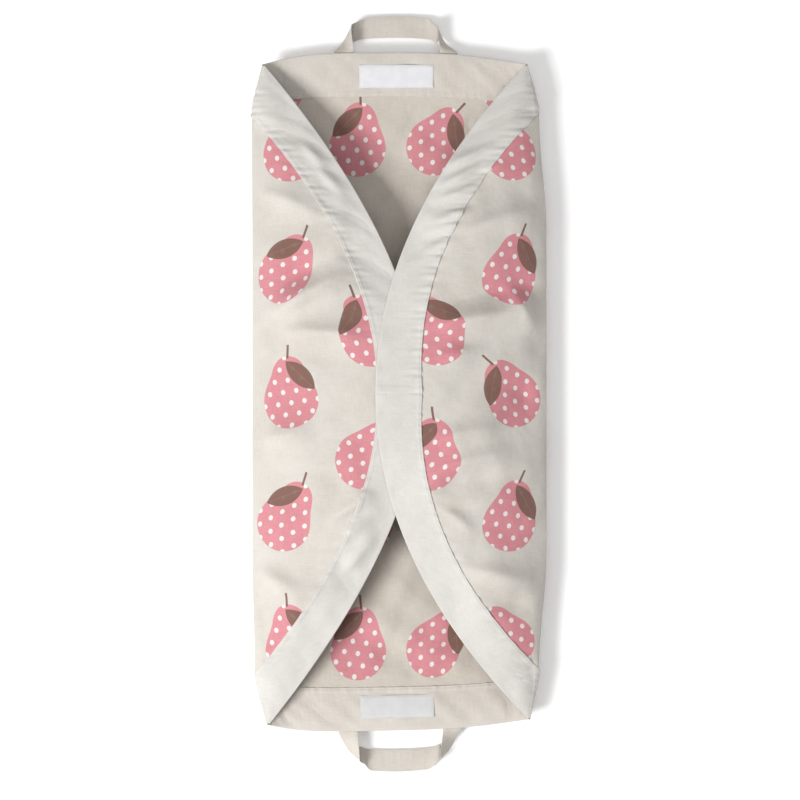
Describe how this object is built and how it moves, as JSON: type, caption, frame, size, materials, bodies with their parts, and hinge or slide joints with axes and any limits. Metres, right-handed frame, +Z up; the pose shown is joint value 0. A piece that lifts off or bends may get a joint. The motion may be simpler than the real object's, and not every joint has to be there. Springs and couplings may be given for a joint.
{
  "type": "fabric storage bin",
  "caption": "Flat-lying canvas toy bin: printed sheet with plain rim band, side flaps closing over the middle and a strap handle at each end.",
  "frame": {"origin": "on the floor, under the middle of the bag", "axes": "+Y along the bag towards the head end, +X to the side of the upper flap, +Z up"},
  "size_m": [0.5154, 1.3214, 0.1195],
  "materials": {
    "printed_canvas": "cream cotton canvas with a pink and brown print",
    "printed_lining": "cream cotton canvas with the same print",
    "plain_band": "plain cream cotton canvas",
    "handle_strap": "plain cream canvas strap, folded and stitched",
    "hook_and_loop": "white hook and loop tape"
  },
  "bodies": {
    "bag": {"base_outer": "printed_canvas", "base_lining": "printed_lining", "head_band": "plain_band", "foot_band": "plain_band", "head_loop_patch": "hook_and_loop", "foot_hook_patch": "hook_and_loop", "head_handle_ends": "handle_strap", "foot_handle_ends": "handle_strap"},
    "head_handle": {"head_handle_loop": "handle_strap"},
    "foot_handle": {"foot_handle_loop": "handle_strap"},
    "left_flap": {"left_flap_outer": "printed_canvas", "left_flap_lining": "printed_lining", "left_band_head": "plain_band", "left_band_foot": "plain_band", "left_loop_strip": "hook_and_loop"},
    "right_flap": {"right_flap_outer": "printed_canvas", "right_flap_lining": "printed_lining", "right_band_head": "plain_band", "right_band_foot": "plain_band", "right_hook_strip": "hook_and_loop"}
  },
  "joints": [
    {"name": "right_flap_fold", "type": "hinge", "parent": "bag", "child": "right_flap", "pos_m": [0.257, 0, 0.05], "axis": [0, 1, 0], "range_deg": [0, 150]},
    {"name": "left_flap_fold", "type": "hinge", "parent": "bag", "child": "left_flap", "pos_m": [-0.257, 0, 0.05], "axis": [0, -1, 0], "range_deg": [0, 94]},
    {"name": "head_handle_fold", "type": "hinge", "parent": "bag", "child": "head_handle", "pos_m": [0, 0.59817, 0.0282], "axis": [1, 0, 0], "range_deg": [0, 110]},
    {"name": "foot_handle_fold", "type": "hinge", "parent": "bag", "child": "foot_handle", "pos_m": [0, -0.59817, 0.0282], "axis": [-1, 0, 0], "range_deg": [0, 110]}
  ],
  "couplings": [
    {"joint": "left_flap_fold", "follows": "right_flap_fold", "ratio": 0.62}
  ]
}
